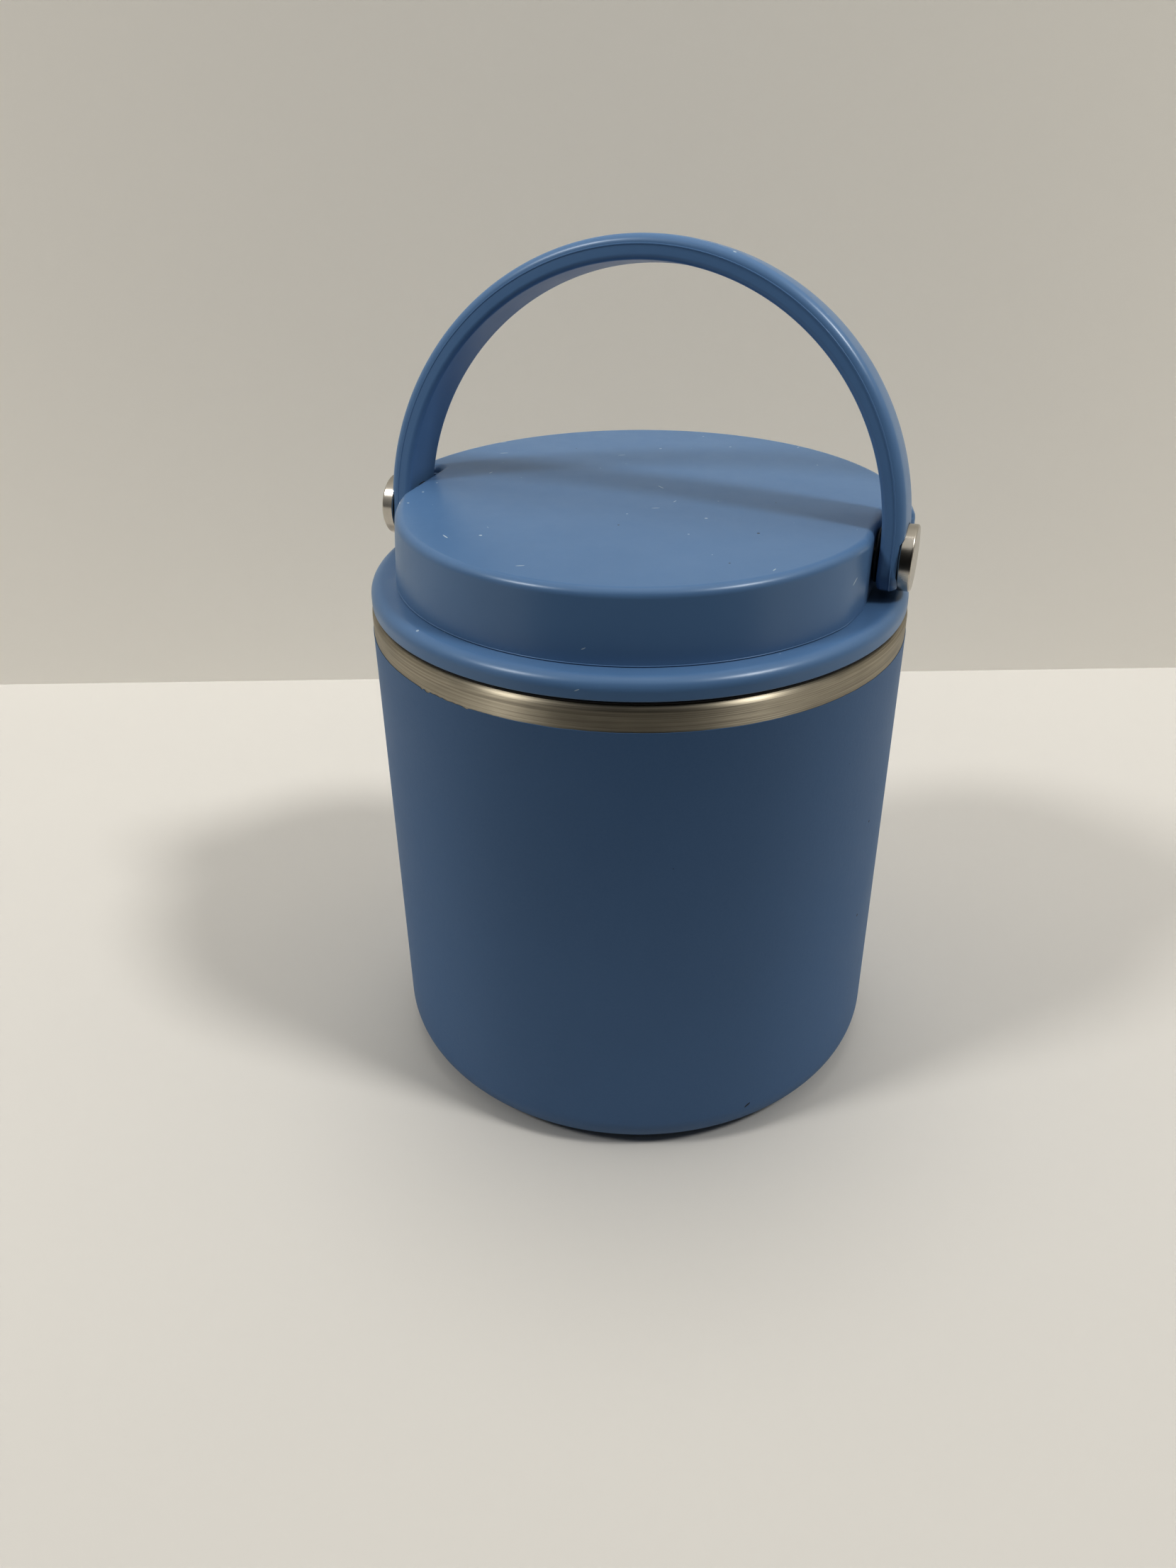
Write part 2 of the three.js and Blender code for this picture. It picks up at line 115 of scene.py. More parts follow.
# Lid
GASKET_BORE = 44.9
GASKET_LIP = 0.7
GASKET_EDGE = 0.2
GASKET_LIFT = 0.1  # from the rim to the gasket's underside
FLANGE_BOTTOM = 102.9
FLANGE_EDGE = 0.35
PLUG_EDGE = 1.2
PLUG_CHAMFER = 0.4
PLUG_HOLLOW = 35.0  # radius of the shallow hollow under the plug
HOLLOW_DEPTH = 0.8
FLANGE_ROUND = 2.3
LEDGE_HEIGHT = 106.9
PLUG_RADIUS = 43.9
PLASTIC = 2.2
SPIGOT_RADIUS = 43.6
SPIGOT_TOP = 109.2
JOINT_GAP = 0.05  # joint line between the cover and the flange
COVER_FRONT = -COVER_LOW.y
COVER_REAR = COVER_HIGH.y
COVER_TOP = COVER_HIGH.z
COVER_ROUND = 1.7
SLOT_FLAT = 45.5
FRONT_CORNER = 3.0
SLOT_CORNER = 0.8
REAR_CORNER = 2.0
DRAFT = 0.8  # the front wall's foot stands this much farther out than its top
LIP = 0.12  # radius of the bead round the front wall's foot
TOP_MIDDLE = 12  # how far behind the axis the rows of the flat top shrink to
PIN_HOLE = 3.15
PIN_HOLE_ENDS = (40, 47)  # where the pin's hole starts and ends along the pin axis

# Handle and pins
HANDLE_LEAN = math.radians(10)
STOP_DISTANCE = 7.2  # from the pin axis to the wall behind a leg
HANDLE_WIDTH = 11.6
LEG_THICKNESS = 4.2
CROWN_THICKNESS = 4.4
ARCH_START = 1.7
ARCH_REACH = 52.1
OUTER_EDGE = 1.65
INNER_EDGE = 1.0
PARTING_RIDGE = 0.09
RIDGE_WIDTH = 0.3
END_DEPTH = 5.9  # from the pin axis to the flat end of a leg
END_CORNER = 3.4
HEAD_SEAT = 0.75  # depth of the seat cut into a leg for the pin's head
SEAT_CLEARANCE = 0.15
OUTER_CROWN = 0.12  # how far the outer face bulges
HEAD_EDGE = 0.4
HEAD_CHAMFER = 0.2
SHOULDER_RADIUS = 2.5
STEM_RADIUS = 1.6
RUNNING_CLEARANCE = 0.15
SIDE_NAMES = {-1: "left", 1: "right"}

# Meshes
BODY_SEGMENTS = 256
PIN_SEGMENTS = 96
TOOL_SEGMENTS = 64
SHARP = math.radians(32)  # edges sharper than this stay sharp
WELD = 0.001 * MM  # points closer than this are one point
ON_AXIS = 1e-9  # a point nearer to the axis than this is on it
HOLD = 0.06  # distance from an edge to the extra row that keeps a flat face flat under smooth shading

# Camera, stage and light, in metres
HEADING = math.radians(20.25)  # the camera looks along +Y turned this far towards -X
DEPRESSION = math.radians(30.9)
ROLL = math.radians(-0.83)
CAMERA_PLACE = (0.0686, -0.2162, 0.1922)
FOCAL_LENGTH = 27.765  # the camera's focal length and sensor are in millimetres
SENSOR = 36
NEAREST = 0.01
FLOOR_SIZE = 80
WALL_BEHIND = 0.171  # distance from the jar's axis to the wall
WALL_SIZE = (4.0, 3.0)
CARD_IN_FRONT = 0.21
CARD_SIZE = (0.45, 0.35)
LAMP_COLOUR = (1.0, 0.98, 0.94)
HORIZON_LIGHT = 0.2
ZENITH_LIGHT = 0.8
BACKDROP = (0.62, 0.6, 0.55)
PICTURE_GAMMA = 0.76

# Colours
COAT_BLUES = (0.073, 0.148, 0.276), (0.08, 0.157, 0.288)
COAT_GRAIN = (0.095, 0.175, 0.31)
COAT_NICK = (0.016, 0.024, 0.04)
PLASTIC_BLUES = (0.106, 0.2, 0.35), (0.116, 0.212, 0.365)
PALE_MARK = (0.6, 0.66, 0.7)
DUST = (0.03, 0.045, 0.07)
BRUSHED_STEEL = (0.5, 0.46, 0.38)
SPUN_STEEL = (0.6, 0.57, 0.52)
GLASS_TONES = (0.05, 0.03, 0.02), (0.08, 0.05, 0.035)
PELLET_TONES = (0.07, 0.07, 0.075), (0.13, 0.13, 0.14)
RUBBER_TONES = (0.006, 0.006, 0.008), (0.014, 0.014, 0.017)
NYLON_TONES = (0.008, 0.009, 0.011), (0.016, 0.017, 0.02)
BRASS_TONES = (0.36, 0.23, 0.07), (0.52, 0.34, 0.11)
FOAM_TONES = (0.6, 0.56, 0.44), (0.72, 0.68, 0.55)
FLOOR_TONES = (0.58, 0.57, 0.555), (0.605, 0.595, 0.575)
WALL_TONES = (0.82, 0.80, 0.76), (0.86, 0.84, 0.79)
BLACK = (0.01, 0.01, 0.01)

# ---- Mesh helpers -----------------------------------------------------------------------------------------


def smooth(share):
    """0 below 0, 1 above 1 and a soft step between."""
    held_in = min(1.0, max(0.0, share))
    return held_in * held_in * (3 - 2 * held_in)


def arc(centre, radius, start, end, steps=8):
    """Points of an arc between two angles in degrees."""
    angles = np.radians(np.linspace(start, end, steps + 1))
    return [(centre[0] + radius * math.cos(a), centre[1] + radius * math.sin(a)) for a in angles]


def held(profile, closed):
    """The profile with an extra point near both ends of each long straight run."""
    points = [np.array(p, float) for p in profile]
    pairs = list(zip(points, points[1:]))
    if closed:
        pairs.append((points[-1], points[0]))
    made = []
    for here, there in pairs:
        made.append(tuple(here))
        length = np.linalg.norm(there - here)
        if length > 8 * HOLD:
            made.append(tuple(here + (there - here) * (HOLD / length)))
            made.append(tuple(there - (there - here) * (HOLD / length)))
    if not closed:
        made.append(tuple(points[-1]))
    return made


def ring(radius, height, segments):
    """One turn of points round the Z axis, or the single point on it."""
    if radius < ON_AXIS:
        return [(0.0, 0.0, height)]
    angles = np.linspace(0, 2 * math.pi, segments, endpoint=False)
    return [(radius * math.cos(a), radius * math.sin(a), height) for a in angles]


def mesh_object(name, points, faces):
    """A smooth-shaded mesh in metres from points in millimetres, with its faces turned outwards."""
    mesh = bpy.data.meshes.new(name)
    mesh.from_pydata([tuple(MM * c for c in p) for p in points], [], faces)
    work = bmesh.new()
    work.from_mesh(mesh)
    bmesh.ops.remove_doubles(work, verts=work.verts, dist=WELD)
    bmesh.ops.recalc_face_normals(work, faces=work.faces)
    work.to_mesh(mesh)
    work.free()
    mesh.shade_smooth()
    mesh.set_sharp_from_angle(angle=SHARP)
    made = bpy.data.objects.new(name, mesh)
    bpy.context.scene.collection.objects.link(made)
    return made


def loft(name, rows, wrap=False):
    """A mesh over rows of points. Each row is a closed loop, and a row of one point is a pole."""
    starts = np.cumsum([0] + [len(row) for row in rows])
    points = [p for row in rows for p in row]
    pairs = [(k, k + 1) for k in range(len(rows) - 1)]
    if wrap:
        pairs.append((len(rows) - 1, 0))
    faces = []
    for a, b in pairs:
        count = max(len(rows[a]), len(rows[b]))
        for i in range(count):
            j = (i + 1) % count
            corners = [(a, i), (a, j), (b, j), (b, i)]
            face = [int(starts[k]) + (n if len(rows[k]) > 1 else 0) for k, n in corners]
            faces.append(list(dict.fromkeys(face)))
    return mesh_object(name, points, faces)


def turned(name, profile, segments=BODY_SEGMENTS):
    """A profile of (radius, height) points turned round the Z axis. It touches the axis at both ends, or it
    closes."""
    closed = profile[0][0] > ON_AXIS
    return loft(name, [ring(r, z, segments) for r, z in held(profile, closed)], wrap=closed)


def on_pin_axis(piece, side):
    """Turns a piece made along Z on to the pin axis, outwards to the right (1) or to the left (-1)."""
    turn = Matrix.Rotation(side * math.pi / 2, 4, "Y")
    piece.data.transform(Matrix.Translation((0, 0, PIN_HEIGHT * MM)) @ turn)
    return piece


def cut_out(piece, tool):
    """Cuts a tool out of a piece, clears away the slivers of the cut and removes the tool."""
    modifier = piece.modifiers.new("cut", "BOOLEAN")
    modifier.object = tool
    modifier.operation = "DIFFERENCE"
    modifier.solver = "EXACT"
    bpy.context.view_layer.update()
    evaluated = piece.evaluated_get(bpy.context.evaluated_depsgraph_get())
    mesh = bpy.data.meshes.new_from_object(evaluated)
    piece.modifiers.clear()
    piece.data = mesh
    work = bmesh.new()
    work.from_mesh(mesh)
    bmesh.ops.dissolve_degenerate(work, edges=work.edges, dist=2 * WELD)
    work.to_mesh(mesh)
    work.free()
    mesh.set_sharp_from_angle(angle=SHARP)
    bpy.data.objects.remove(tool)


def peg(radius, inside, outside, side):
    """A plain cutting cylinder on the pin axis."""
    profile = [(0, inside), (radius, inside), (radius, outside), (0, outside)]
    return on_pin_axis(turned("peg", profile, TOOL_SEGMENTS), side)


# ---- Materials --------------------------------------------------------------------------------------------


class Finish:
    """A material being built: its node tree, its Principled shader and the object's own coordinates."""

    def __init__(self, name, **constants):
        self.material = bpy.data.materials.new(name)
        self.material.use_nodes = True
        self.tree = self.material.node_tree
        self.shader = self.tree.nodes["Principled BSDF"]
        coordinates = self.tree.nodes.new("ShaderNodeTexCoord")
        self.place = coordinates.outputs["Object"]
        self.facing = coordinates.outputs["Normal"]
        for socket, value in constants.items():
            self.shader.inputs[socket.replace("_", " ")].default_value = value

    def node(self, kind, settings=None, **inputs):
        """A node with its settings, its inputs set or linked by name."""
        made = self.tree.nodes.new(kind)
        for key, value in (settings or {}).items():
            setattr(made, key, value)
        for socket, value in inputs.items():
            self.feed(made.inputs[socket.replace("_", " ")], value)
        return made

    def feed(self, socket, value):
        """Links a socket to another one, or sets it to a plain value."""
        if isinstance(value, bpy.types.NodeSocket):
            self.tree.links.new(value, socket)
        else:
            socket.default_value = value

    def maths(self, operation, *values):
        """A sum on one to three values."""
        made = self.tree.nodes.new("ShaderNodeMath")
        made.operation = operation
        for socket, value in zip(made.inputs, values):
            self.feed(socket, value)
        return made.outputs["Value"]

    def scaled(self, vector, factors):
        """A vector multiplied part by part."""
        made = self.tree.nodes.new("ShaderNodeVectorMath")
        made.operation = "MULTIPLY"
        self.tree.links.new(vector, made.inputs[0])
        made.inputs[1].default_value = factors
        return made.outputs["Vector"]

    def noise(self, vector, scale, detail=2.0, roughness=0.5):
        """Soft noise in space, mostly between 0.3 and 0.7."""
        made = self.node("ShaderNodeTexNoise", Vector=vector, Scale=scale, Detail=detail, Roughness=roughness)
        return made.outputs["Fac"]

    def spread(self, value, low, high, to_low=0.0, to_high=1.0):
        """Maps a value from one span to another and keeps it inside."""
        made = self.node("ShaderNodeMapRange", Value=value)
        spans = {"From Min": low, "From Max": high, "To Min": to_low, "To Max": to_high}
        for socket, bound in spans.items():
            self.feed(made.inputs[socket], bound)
        return made.outputs["Result"]

    def mix(self, share, first, second):
        """A mix of two colours."""
        made = self.tree.nodes.new("ShaderNodeMix")
        made.data_type = "RGBA"
        self.feed(made.inputs["Factor"], share)
        self.feed(made.inputs["A"], first)
        self.feed(made.inputs["B"], second)
        return made.outputs["Result"]

    def blend(self, share, first, second):
        """A mix of two numbers."""
        made = self.tree.nodes.new("ShaderNodeMix")
        made.data_type = "FLOAT"
        for socket, value in zip(made.inputs[0:1] + made.inputs[2:4], (share, first, second)):
            self.feed(socket, value)
        return made.outputs[0]

    def bump(self, height, depth, strength=1.0, below=None):
        """A bump of a given depth in metres, on top of another if there is one."""
        made = self.node("ShaderNodeBump", Height=height, Distance=depth, Strength=strength)
        if below is not None:
            self.tree.links.new(below, made.inputs["Normal"])
        return made.outputs["Normal"]

    def link(self, value, socket):
        """Links a value to a socket of the shader."""
        self.tree.links.new(value, self.shader.inputs[socket])


def rgb(colour, shade=1.0):
    """A colour made darker or lighter, in the form that sockets take."""
    return (*(shade * part for part in colour), 1.0)


def about_axis(finish, axis):
    """The coordinate along an axis, the two across it and the distance from it. The X and Y axes are taken at
    the height of the pins."""
    parts = finish.node("ShaderNodeSeparateXYZ", Vector=finish.place)
    first, second = (parts.outputs[name] for name in "XYZ".replace(axis, ""))
    if axis != "Z":
        second = finish.maths("SUBTRACT", second, PIN_HEIGHT * MM)
    squares = [finish.maths("MULTIPLY", value, value) for value in (first, second)]
    return parts.outputs[axis], first, second, finish.maths("SQRT", finish.maths("ADD", *squares))


def wrapped_place(finish, axis, reach):
    """Coordinates on a surface wrapped round an axis: the way round it at a radius of reach metres, and the
    distance along it plus the distance from it."""
    along, first, second, radius = about_axis(finish, axis)
    around = finish.maths("MULTIPLY", finish.maths("ARCTAN2", second, first), reach)
    across = finish.maths("ADD", along, radius)
    return finish.node("ShaderNodeCombineXYZ", X=around, Y=across).outputs["Vector"]


def scratches(finish, place, degrees, cell, share, length, width):
    """Sparse short scratches that lie in one direction, 1 on a scratch and 0 elsewhere. Cell, length and
    width are in metres, and share is the part of the cells that hold one."""
    turned_round = finish.node("ShaderNodeMapping", {"vector_type": "TEXTURE"}, Vector=place)
    turned_round.inputs["Rotation"].default_value = (0, 0, math.radians(degrees))
    spaced = finish.scaled(turned_round.outputs["Vector"], (width / length / cell, 1 / cell, 0))
    cells = finish.node("ShaderNodeTexVoronoi", {"voronoi_dimensions": "2D"}, Vector=spaced, Scale=1.0)
    drawn = finish.node("ShaderNodeSeparateColor", Color=cells.outputs["Color"])
    chosen = finish.maths("LESS_THAN", drawn.outputs["Red"], share)
    size = finish.maths("MULTIPLY", drawn.outputs["Green"], width / cell)
    near = finish.maths("LESS_THAN", cells.outputs["Distance"], size)
    return finish.maths("MULTIPLY", chosen, near)


def specks(finish, place, cell, share, size):
    """Sparse round specks of random size, up to the given radius."""
    return scratches(finish, place, 0, cell, share, size, size)


def any_of(finish, *masks):
    """1 where any of the masks is 1."""
    total = masks[0]
    for mask in masks[1:]:
        total = finish.maths("MAXIMUM", total, mask)
    return total


def powder_coat():
    """Fine matte powder coat with a soft orange peel, faint clouds and a few dark nicks."""
    finish = Finish("powder_coat", Specular_IOR_Level=0.35)
    place = wrapped_place(finish, "Z", BODY_RADIUS * MM)
    cloud = finish.spread(finish.noise(finish.place, scale=38, detail=3), 0.35, 0.65)
    grain = finish.noise(finish.place, scale=2600)
    blue = finish.mix(cloud, *map(rgb, COAT_BLUES))
    blue = finish.mix(finish.spread(grain, 0.3, 0.7, 0, 0.25), blue, rgb(COAT_GRAIN))
    nicks = any_of(
        finish,
        scratches(finish, place, degrees=35, cell=0.011, share=0.05, length=0.0011, width=0.0003),
        specks(finish, place, cell=0.012, share=0.09, size=0.00035),
    )
    finish.link(finish.mix(nicks, blue, rgb(COAT_NICK)), "Base Color")
    finish.link(finish.spread(cloud, 0, 1, 0.46, 0.54), "Roughness")
    peel = finish.bump(finish.noise(finish.place, scale=700, detail=1), depth=0.00004, strength=0.5)
    finish.link(finish.bump(grain, 0.00002, 0.55, peel), "Normal")
    return finish.material


def handling_marks(finish, place, worn):
    """Pale short scratches and specks as one mask, and dark dust as another."""
    pale = any_of(
        finish,
        scratches(finish, place, degrees=25, cell=0.0045, share=0.05 * worn, length=0.0011, width=0.00019),
        scratches(finish, place, degrees=78, cell=0.0052, share=0.05 * worn, length=0.0008, width=0.00018),
        scratches(finish, place, degrees=140, cell=0.006, share=0.05 * worn, length=0.0014, width=0.0002),
        specks(finish, place, cell=0.007, share=0.09 * worn, size=0.0003),
    )
    return pale, specks(finish, place, cell=0.012, share=0.1 * worn, size=0.00028)


def satin_plastic(name, axis, shade=1.0, worn=1.0):
    """Satin moulded plastic with a very fine texture and faint handling marks on the walls round an axis.
    Round the Z axis it has twice as many on its level faces."""
    finish = Finish(name, Specular_IOR_Level=0.5)
    cloud = finish.spread(finish.noise(finish.place, scale=45, detail=3), 0.3, 0.7)
    # A shade other than 1 paints the whole plastic lighter or darker; a shade above 1, as on the handle, is
    # painted light.
    blue = finish.mix(cloud, *(rgb(colour, shade) for colour in PLASTIC_BLUES))
    pale, dust = handling_marks(finish, wrapped_place(finish, axis, 0.05), worn)
    if axis == "Z":
        pale_flat, dust_flat = handling_marks(finish, finish.place, 2.0 * worn)
        facing = finish.node("ShaderNodeSeparateXYZ", Vector=finish.facing)
        level = finish.maths("GREATER_THAN", facing.outputs["Z"], 0.9)
        pale = finish.blend(level, pale, pale_flat)
        dust = finish.blend(level, dust, dust_flat)
    blue = finish.mix(finish.maths("MULTIPLY", pale, 0.6), blue, rgb(PALE_MARK))
    finish.link(finish.mix(dust, blue, rgb(DUST)), "Base Color")
    grain = finish.noise(finish.place, scale=120, detail=4, roughness=0.6)
    rubbed = finish.spread(grain, 0.3, 0.7, 0.29, 0.35)
    finish.link(finish.maths("ADD", rubbed, finish.maths("MULTIPLY", pale, 0.2)), "Roughness")
    skin = finish.bump(finish.noise(finish.place, scale=1900), depth=0.000012, strength=0.35)
    finish.link(finish.bump(pale, 0.00003, 0.4, skin), "Normal")
    return finish.material


def lined_steel(name, along, across, roughness):
    """Steel brushed round the Z axis. Its lines are drawn out by stretching noise: along and across are the
    numbers of waves per metre in the plane of the lines and across them."""
    finish = Finish(name, Metallic=1.0, Anisotropic=0.9, Anisotropic_Rotation=0.25)
    round_z = finish.node("ShaderNodeTangent", {"direction_type": "RADIAL", "axis": "Z"})
    finish.link(round_z.outputs["Tangent"], "Tangent")
    stretched = finish.scaled(finish.place, (along, along, across))
    lines = finish.noise(stretched, scale=1.0, detail=3, roughness=0.6)
    patches = finish.scaled(finish.place, (3 * along, 3 * along, across / 14))
    smudges = finish.spread(finish.noise(patches, scale=1.0), 0.45, 0.7, 0, 0.45)
    tone = finish.mix(finish.spread(lines, 0.35, 0.6), rgb(BRUSHED_STEEL, 0.62), rgb(BRUSHED_STEEL))
    finish.link(finish.mix(smudges, tone, rgb(BRUSHED_STEEL, 0.55)), "Base Color")
    finish.link(finish.spread(lines, 0.25, 0.75, roughness - 0.06, roughness + 0.06), "Roughness")
    finish.link(finish.bump(lines, depth=0.000015, strength=0.5), "Normal")
    return finish.material


def spun_steel(name, axis, roughness):
    """Steel with fine rings round an axis, as a lathe leaves them."""
    finish = Finish(name, Metallic=1.0)
    *_, radius = about_axis(finish, axis)
    spot = finish.node("ShaderNodeCombineXYZ", X=finish.maths("MULTIPLY", radius, 5200.0))
    drift = finish.scaled(finish.place, (90, 90, 90))
    mixed = finish.node("ShaderNodeVectorMath", {"operation": "ADD"})
    finish.feed(mixed.inputs[0], spot.outputs["Vector"])
    finish.feed(mixed.inputs[1], drift)
    lines = finish.noise(mixed.outputs["Vector"], scale=1.0, roughness=0.6)
    tone = finish.mix(finish.spread(lines, 0.3, 0.7), rgb(SPUN_STEEL, 0.8), rgb(SPUN_STEEL))
    finish.link(tone, "Base Color")
    finish.link(finish.spread(lines, 0.25, 0.75, roughness - 0.06, roughness + 0.08), "Roughness")
    finish.link(finish.bump(lines, depth=0.00001, strength=0.4), "Normal")
    return finish.material


def soft_matter(name, tones, scale, roughness, depth, metallic=0.0):
    """A plain material with grain: two close colours, uneven roughness and a fine bump."""
    finish = Finish(name, Metallic=metallic)
    grain = finish.noise(finish.place, scale, detail=3)
    finish.link(finish.mix(finish.spread(grain, 0.3, 0.7), *map(rgb, tones)), "Base Color")
    finish.link(finish.spread(grain, 0.3, 0.7, roughness - 0.06, roughness + 0.06), "Roughness")
    finish.link(finish.bump(grain, depth, strength=0.5), "Normal")
    return finish.material


# ---- Jar --------------------------------------------------------------------------------------------------


def thread_height(angle, height, drop):
    """How far the thread stands out of its wall at a place, from 0 on the wall to 1 on a crest."""
    tallest = 0.0
    for start in range(THREAD_STARTS):
        turn = (start * 2 * math.pi / THREAD_STARTS - angle) % (2 * math.pi)
        middle = THREAD_TOP - drop - turn / (2 * math.pi) * THREAD_LEAD
        across = 1 - smooth((abs(height - middle) - THREAD_CREST) / (THREAD_ROOT - THREAD_CREST))
        share = turn / THREAD_SWEEP
        along = smooth(min(share, 1 - share) / THREAD_TAPER)
        tallest = max(tallest, across * along)
    return tallest


def threaded_wall(radius, rib, drop, low, high):
    """Rows of points up a wall with the thread on it. The rib is negative where it stands inwards."""
    rows = []
    for height in np.arange(low, high, THREAD_ROW):
        row = []
        for angle in np.linspace(0, 2 * math.pi, BODY_SEGMENTS, endpoint=False):
            here = radius + rib * thread_height(angle, height, drop)
            row.append((here * math.cos(angle), here * math.sin(angle), height))
        rows.append(row)
    return rows


def rings(profile):
    """A row of points for each point of a profile that starts or ends on the axis."""
    return [ring(r, z, BODY_SEGMENTS) for r, z in held(profile, closed=False)]


def steel_wall():
    """The outer steel wall: bare at the top and coated below, turned under at the foot and in at the rim."""
    outside = BODY_RADIUS - COAT
    inside = outside - STEEL
    weld = LINER_HIGH.x + COAT
    bend = (outside - RIM_ROUND, RIM_HEIGHT - RIM_ROUND)
    foot = (BODY_RADIUS - FOOT_ROUND, FOOT_ROUND)
    return turned("jar_wall", [
        (RECESS_RADIUS, COAT),
        *arc(foot, FOOT_ROUND - COAT, -90, 0, 20),
        *arc(bend, RIM_ROUND, 0, 90),
        (weld, RIM_HEIGHT),
        (weld, RIM_HEIGHT - STEEL),
        *arc(bend, RIM_ROUND - STEEL, 90, 0, 4),
        (inside, RIM_HEIGHT - RIM_ROUND - STEEL),
        *arc(foot, FOOT_ROUND - COAT - STEEL, 0, -90, 12),
        (RECESS_RADIUS + STEEL, COAT + STEEL),
        (RECESS_RADIUS + STEEL, PLATE_HIGH.z - 2 * STEEL),
        (RECESS_RADIUS, PLATE_HIGH.z - 2 * STEEL),
    ])


def ragged(angle):
    """How far the coat's masked edge wanders up or down at an angle, in millimetres."""
    around = Vector((math.cos(angle), math.sin(angle), 0))
    wander = EDGE_WANDER * noise.noise(around * 14)
    from_chips = (math.degrees(angle) - CHIPPED_AT + 180) % 360 - 180
    chipped = smooth((CHIPPED_REACH - abs(from_chips)) / CHIPPED_FADE)
    chips = CHIP_DEPTH * chipped * abs(noise.noise(around * 34))
    grain = EDGE_GRAIN * abs(noise.noise(around * 90))
    return wander - chips - grain


def coat():
    """The powder coat: a thin skin from under the foot up to its slightly ragged masked edge. The rows of
    points lie closer together near that edge, so that it can wander."""
    foot = (BODY_RADIUS - FOOT_ROUND, FOOT_ROUND)
    skin = COAT - COAT_GAP
    edge = skin / 2
    piece = turned("jar_coat", [
        (COAT_FOOT, edge),
        (COAT_FOOT + edge, 0),
        *arc(foot, FOOT_ROUND, -90, 0, 28),
        *[(BODY_RADIUS, COAT_TOP - below) for below in EDGE_ROWS],
        *arc((BODY_RADIUS - edge, COAT_TOP - edge), edge, 0, 90, 4),
        (BODY_RADIUS - skin, COAT_TOP - edge / 2),
        (BODY_RADIUS - skin, COAT_TOP - EDGE_ROWS[0]),
        *arc(foot, FOOT_ROUND - skin, 0, -90, 28),
        (COAT_FOOT, skin),
    ], 2 * BODY_SEGMENTS)
    for vertex in piece.data.vertices:
        x, y, z = vertex.co / MM
        share = smooth(z - COAT_TOP + EDGE_REACH)
        if share > 0:
            vertex.co.z += share * ragged(math.atan2(y, x)) * MM
    return piece


def liner():
    """The cup that holds the food, with the thread inside its mouth."""
    outside = LINER_HIGH.x
    corner = (outside - LINER_ROUND, LINER_LOW.z + LINER_ROUND)
    thread_low = THREAD_TOP - THREAD_LEAD - THREAD_ROOT
    lip = STEEL / 2
    rows = rings([
        (0, LINER_LOW.z + STEEL),
        *reversed(arc(corner, LINER_ROUND - STEEL, 0, -90, 16)),
        (LINER_INSIDE, thread_low - THREAD_ROW),
    ])
    rows += threaded_wall(LINER_INSIDE, -LINER_RIB, 0, thread_low, THREAD_TOP + THREAD_ROOT)
    rows += rings([
        *arc((LINER_INSIDE + lip, RIM_HEIGHT - lip), lip, 180, 0, 8),
        *arc(corner, LINER_ROUND, 0, -90, 16),
        (0, LINER_LOW.z),
    ])
    return loft("food_liner", rows)


def base_plate():
    """The pressed plate that closes the vacuum space, with a dimple round the hole that the seal fills."""
    bottom = PLATE_LOW.z
    rise = PLATE_HIGH.z - bottom - STEEL
    radius = PLATE_HIGH.x
    half = STEEL / 2
    under = [
        (SEAL_HOLE, bottom + rise),
        (DIMPLE, bottom + rise),
        (DIMPLE + rise, bottom),
        (radius - STEEL, bottom),
    ]
    over = [(r, z + STEEL) for r, z in reversed(under)]
    edge = arc((radius - half, bottom + half), half, -90, 90, 6)
    return turned("base_plate", [*under, *edge, *over])


def cover_disc():
    """The disc under the jar: a rolled edge, a shallow pressed ring and a flat middle."""
    low, high = DISC_LOW.z, DISC_HIGH.z
    radius = DISC_HIGH.x
    half = (high - low) / 2
    ring_start, ring_end = DISC_RING
    return turned("bottom_disc", [
        (0, low + DISC_STEP),
        (ring_start, low + DISC_STEP),
        (ring_start + DISC_SLOPE, low),
        (ring_end, low),
        (ring_end + DISC_SLOPE, low + DISC_STEP),
        (radius - DISC_RIM, low + DISC_STEP),
        *arc((radius - half, low + half), half, -90, 90, 8),
        (0, high),
    ])


# ---- Lid --------------------------------------------------------------------------------------------------


def gasket():
    """The silicone ring between rim and flange, with a lip inside the mouth."""
    low, high = GASKET_LOW.z, GASKET_HIGH.z
    seat = RIM_HEIGHT + GASKET_LIFT
    lip = GASKET_BORE + GASKET_LIP
    edge = (high - seat) / 2
    return turned("seal_ring_band", [
        (GASKET_BORE, low + GASKET_EDGE),
        (GASKET_BORE + GASKET_EDGE, low),
        (lip, low),
        (lip + GASKET_EDGE, seat),
        *arc((GASKET_HIGH.x - edge, seat + edge), edge, -90, 90, 6),
        (GASKET_BORE, high),
    ])


